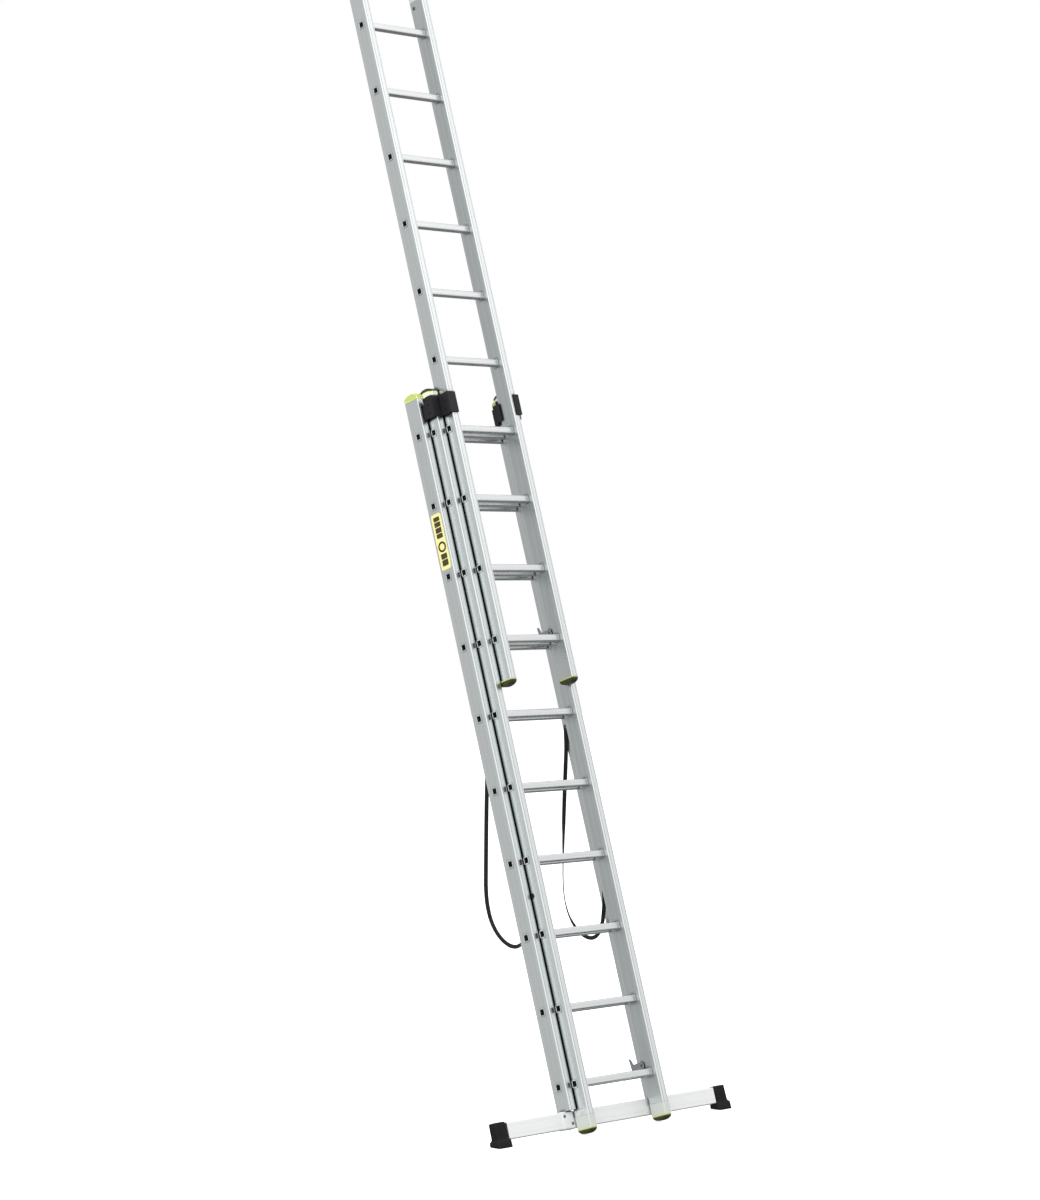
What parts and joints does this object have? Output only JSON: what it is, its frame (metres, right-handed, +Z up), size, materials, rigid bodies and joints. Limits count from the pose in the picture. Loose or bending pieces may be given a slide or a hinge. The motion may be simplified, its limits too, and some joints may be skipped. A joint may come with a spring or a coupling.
{
  "type": "extension ladder",
  "caption": "Three-section aluminium extension ladder leaning at work, top section raised, with a stabiliser bar, nested stile tubes, rung hooks, plastic guides and spreader straps.",
  "frame": {"origin": "on the floor, at the middle of the leaning ladder's footprint, without the two straps", "axes": "+Z up, +Y the way the ladder leans, +X to the climber's right"},
  "size_m": [1.2286, 1.3298, 4.4056],
  "materials": {
    "aluminium": "mill-finish extruded tube, fine lengthwise grain",
    "rung_aluminium": "ribbed extruded tube, satin",
    "lime_plastic": "moulded, slight sheen",
    "black_plastic": "moulded, fine texture",
    "black_rubber": "matt, slightly scuffed",
    "zinc_steel": "zinc plated, dull",
    "black_webbing": "woven webbing"
  },
  "bodies": {
    "base": {"base_stile_l": "aluminium", "base_stile_r": "aluminium", "base_rung_01": "rung_aluminium", "base_rung_02": "rung_aluminium", "base_rung_03": "rung_aluminium", "base_rung_04": "rung_aluminium", "base_rung_05": "rung_aluminium", "base_rung_06": "rung_aluminium", "base_rung_07": "rung_aluminium", "base_rung_08": "rung_aluminium", "base_rung_09": "rung_aluminium", "base_rung_10": "rung_aluminium", "base_top_cap_l": "lime_plastic", "base_top_cap_r": "lime_plastic", "stabiliser_bar": "aluminium", "stabiliser_foot_l": "black_rubber", "stabiliser_foot_r": "black_rubber", "spreader_strap_l": "black_webbing", "spreader_strap_r": "black_webbing"},
    "hinge_guides": {"hinge_guide_l": "black_plastic", "hinge_guide_r": "black_plastic"},
    "mid": {"mid_stile_l": "aluminium", "mid_stile_r": "aluminium", "mid_rung_01": "rung_aluminium", "mid_rung_02": "rung_aluminium", "mid_rung_03": "rung_aluminium", "mid_rung_04": "rung_aluminium", "mid_rung_05": "rung_aluminium", "mid_rung_06": "rung_aluminium", "mid_rung_07": "rung_aluminium", "mid_rung_08": "rung_aluminium", "mid_rung_09": "rung_aluminium", "mid_rung_10": "rung_aluminium", "mid_top_cap_l": "lime_plastic", "mid_top_cap_r": "lime_plastic", "mid_foot_l": "lime_plastic", "mid_foot_r": "lime_plastic", "fly_guide_l": "black_plastic", "fly_guide_r": "black_plastic"},
    "fly": {"fly_stile_l": "aluminium", "fly_stile_r": "aluminium", "fly_rung_01": "rung_aluminium", "fly_rung_02": "rung_aluminium", "fly_rung_03": "rung_aluminium", "fly_rung_04": "rung_aluminium", "fly_rung_05": "rung_aluminium", "fly_rung_06": "rung_aluminium", "fly_rung_07": "rung_aluminium", "fly_rung_08": "rung_aluminium", "fly_rung_09": "rung_aluminium", "fly_rung_10": "rung_aluminium", "fly_top_cap_l": "lime_plastic", "fly_top_cap_r": "lime_plastic", "fly_bottom_cap_l": "lime_plastic", "fly_bottom_cap_r": "lime_plastic"},
    "mid_hook_l": {"mid_hook_l": "zinc_steel"},
    "mid_hook_r": {"mid_hook_r": "zinc_steel"},
    "fly_hook_l": {"fly_hook_l": "zinc_steel"},
    "fly_hook_r": {"fly_hook_r": "zinc_steel"}
  },
  "joints": [
    {"name": "mid_hinge", "type": "hinge", "parent": "base", "child": "hinge_guides", "pos_m": [0, 0.22021, 2.69296], "axis": [-1, 0, 0], "range_deg": [0, 35]},
    {"name": "mid_slide", "type": "slide", "parent": "hinge_guides", "child": "mid", "axis": [0, 0.2882, 0.9576], "range_m": [0, 1.68]},
    {"name": "fly_slide", "type": "slide", "parent": "mid", "child": "fly", "axis": [0, 0.2882, 0.9576], "range_m": [-1.68, 0]},
    {"name": "mid_hook_l_turn", "type": "hinge", "parent": "mid", "child": "mid_hook_l", "pos_m": [0, -0.5472, 0.20663], "axis": [1, 0, 0], "range_deg": [0, 45], "stiffness_Nm_per_rad": 0.4, "springref_deg": -17.19},
    {"name": "mid_hook_r_turn", "type": "hinge", "parent": "mid", "child": "mid_hook_r", "pos_m": [0, -0.5472, 0.20663], "axis": [1, 0, 0], "range_deg": [0, 45], "stiffness_Nm_per_rad": 0.4, "springref_deg": -17.19},
    {"name": "fly_hook_l_turn", "type": "hinge", "parent": "fly", "child": "fly_hook_l", "pos_m": [0, -0.11283, 1.83034], "axis": [1, 0, 0], "range_deg": [0, 45], "stiffness_Nm_per_rad": 0.4, "springref_deg": -17.19},
    {"name": "fly_hook_r_turn", "type": "hinge", "parent": "fly", "child": "fly_hook_r", "pos_m": [0, -0.11283, 1.83034], "axis": [1, 0, 0], "range_deg": [0, 45], "stiffness_Nm_per_rad": 0.4, "springref_deg": -17.19}
  ]
}
